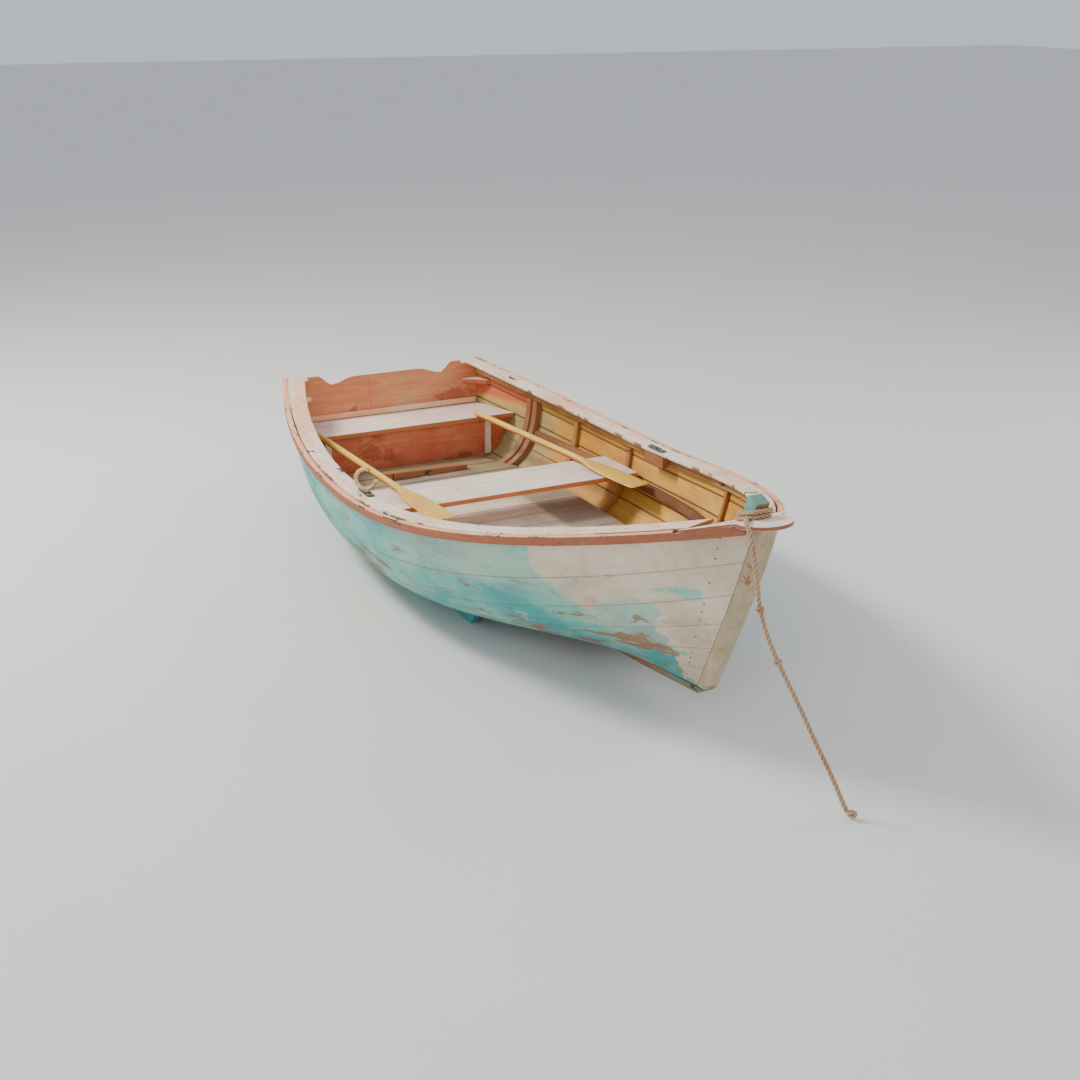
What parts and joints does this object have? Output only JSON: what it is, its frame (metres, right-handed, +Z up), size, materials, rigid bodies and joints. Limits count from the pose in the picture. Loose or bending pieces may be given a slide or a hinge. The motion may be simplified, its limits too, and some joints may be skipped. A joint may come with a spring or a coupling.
{
  "type": "rowing dinghy",
  "caption": "Small open wooden rowing boat with a square transom stern, a stern seat, a middle seat, oars laid inside and a mooring rope at the bow.",
  "frame": {"origin": "middle of the boat's length and breadth, at the bottom of the keel", "axes": "+X towards the bow, +Y to port, +Z up"},
  "size_m": [3.7075, 1.5018, 0.8887],
  "materials": {
    "hull_paint": "weathered matt paint",
    "gunwale_paint": "weathered matt paint",
    "rail_wood": "worn matt wood",
    "panel_paint": "weathered matt paint",
    "seat_paint": "weathered matt paint",
    "inner_wood": "worn matt wood",
    "floor_wood": "worn matt wood",
    "inwale_wood": "worn matt wood",
    "frame_wood": "worn matt wood",
    "keel_wood": "worn matt wood",
    "post_paint": "weathered matt paint",
    "oar_wood": "satin varnish",
    "rope_fibre": "laid natural fibre",
    "socket_iron": "dull, weathered",
    "rowlock_brass": "dull, weathered"
  },
  "bodies": {
    "hull": {"keel": "keel_wood", "hog": "keel_wood", "stem": "rail_wood", "apron": "keel_wood", "stern_knee": "keel_wood", "transom_board_port": "panel_paint", "transom_board_starboard": "panel_paint", "transom_cleat": "gunwale_paint", "garboard_port": "hull_paint", "garboard_starboard": "hull_paint", "strake_2_port": "hull_paint", "strake_2_starboard": "hull_paint", "strake_3_port": "hull_paint", "strake_3_starboard": "hull_paint", "strake_4_port": "hull_paint", "strake_4_starboard": "hull_paint", "strake_5_port": "hull_paint", "strake_5_starboard": "hull_paint", "sheer_strake_port": "hull_paint", "sheer_strake_starboard": "hull_paint", "rib_pair_1": "frame_wood", "rib_pair_2": "frame_wood", "rib_pair_3": "frame_wood", "rib_pair_4": "frame_wood", "quarter_posts_port": "frame_wood", "quarter_posts_starboard": "frame_wood", "inwale_port": "inwale_wood", "inwale_starboard": "inwale_wood", "gunwale_cap_port": "gunwale_paint", "gunwale_cap_starboard": "gunwale_paint", "rub_rail_port": "rail_wood", "rub_rail_starboard": "rail_wood", "bow_cap": "gunwale_paint", "mooring_post": "post_paint", "quarter_knee_port": "gunwale_paint", "quarter_knee_starboard": "gunwale_paint", "rising_port": "frame_wood", "rising_starboard": "frame_wood", "middle_thwart": "seat_paint", "stern_seat": "seat_paint", "bulkhead_board_port": "panel_paint", "bulkhead_board_starboard": "panel_paint", "bulkhead_cleats": "gunwale_paint", "floor_bearers": "inner_wood", "floorboards_aft": "floor_wood", "floorboards_forward": "floor_wood", "foot_stretcher": "frame_wood", "bilge_runner_port": "frame_wood", "bilge_runner_starboard": "frame_wood", "rowlock_blocks": "inwale_wood", "rowlock_socket_port": "socket_iron", "rowlock_socket_starboard": "socket_iron", "socket_screws": "rowlock_brass", "post_turns": "rope_fibre", "painter": "rope_fibre", "painter_knots": "rope_fibre"},
    "rowlock": {"rowlock": "rowlock_brass"},
    "oar_port": {"oar_port": "oar_wood"},
    "oar_starboard": {"oar_starboard": "oar_wood"}
  },
  "joints": [
    {"name": "rowlock_swivel", "type": "hinge", "parent": "hull", "child": "rowlock", "pos_m": [-0.16005, -0.66417, 0.49086], "axis": [0, 0, 1], "continuous": true},
    {"name": "oar_port_lift", "type": "slide", "parent": "hull", "child": "oar_port", "axis": [0, 0, 1], "range_m": [0, 0.4]},
    {"name": "oar_starboard_lift", "type": "slide", "parent": "hull", "child": "oar_starboard", "axis": [0, 0, 1], "range_m": [0, 0.4]}
  ]
}
